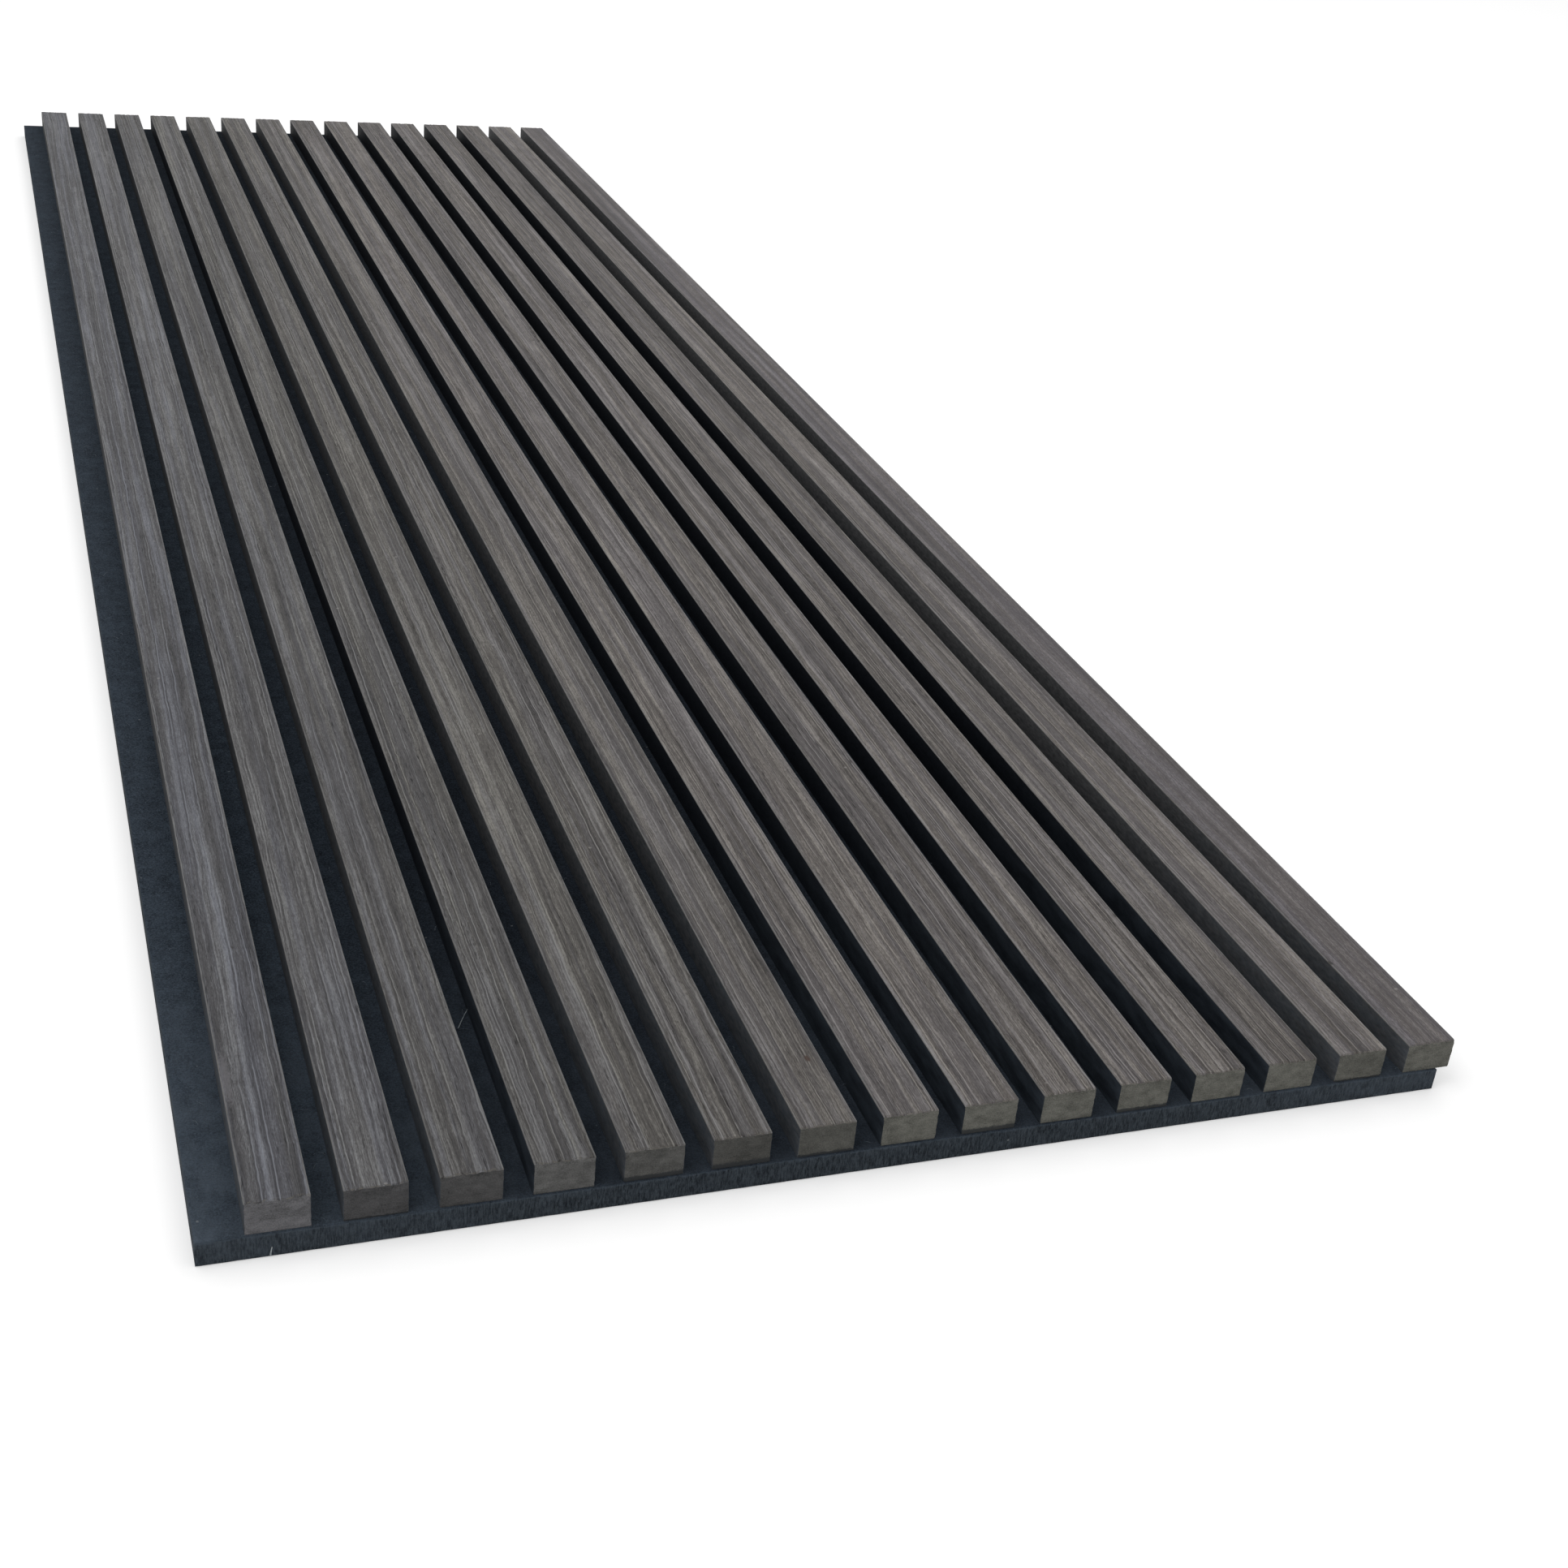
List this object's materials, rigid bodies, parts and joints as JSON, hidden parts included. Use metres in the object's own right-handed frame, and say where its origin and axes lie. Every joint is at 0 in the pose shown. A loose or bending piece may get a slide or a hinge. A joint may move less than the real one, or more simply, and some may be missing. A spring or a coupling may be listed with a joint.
{
  "type": "acoustic slat wall panel",
  "caption": "Wall panel of narrow oak-veneered fibreboard slats on a dark felt board, with a bare felt tongue on one long edge and a lapping slat on the other.",
  "frame": {"origin": "middle of the felt's back face, the face that goes on the wall", "axes": "+X across the slats from the bare felt tongue to the lapping slat, +Y along the slats, +Z out of the wall towards the room"},
  "size_m": [0.607, 2, 0.028],
  "materials": {
    "felt": "matte needled felt, blue-black",
    "core": "dyed fibreboard, near-black painted sides and matte grey-olive sawn ends",
    "veneer": "grey smoked oak veneer, fine straight grain, matte lacquer"
  },
  "bodies": {
    "root": {"felt_backing": "felt", "slat_core_01": "core", "slat_core_02": "core", "slat_core_03": "core", "slat_core_04": "core", "slat_core_05": "core", "slat_core_06": "core", "slat_core_07": "core", "slat_core_08": "core", "slat_core_09": "core", "slat_core_10": "core", "slat_core_11": "core", "slat_core_12": "core", "slat_core_13": "core", "slat_core_14": "core", "slat_core_15": "core", "slat_veneer_01": "veneer", "slat_veneer_02": "veneer", "slat_veneer_03": "veneer", "slat_veneer_04": "veneer", "slat_veneer_05": "veneer", "slat_veneer_06": "veneer", "slat_veneer_07": "veneer", "slat_veneer_08": "veneer", "slat_veneer_09": "veneer", "slat_veneer_10": "veneer", "slat_veneer_11": "veneer", "slat_veneer_12": "veneer", "slat_veneer_13": "veneer", "slat_veneer_14": "veneer", "slat_veneer_15": "veneer"}
  },
  "joints": []
}
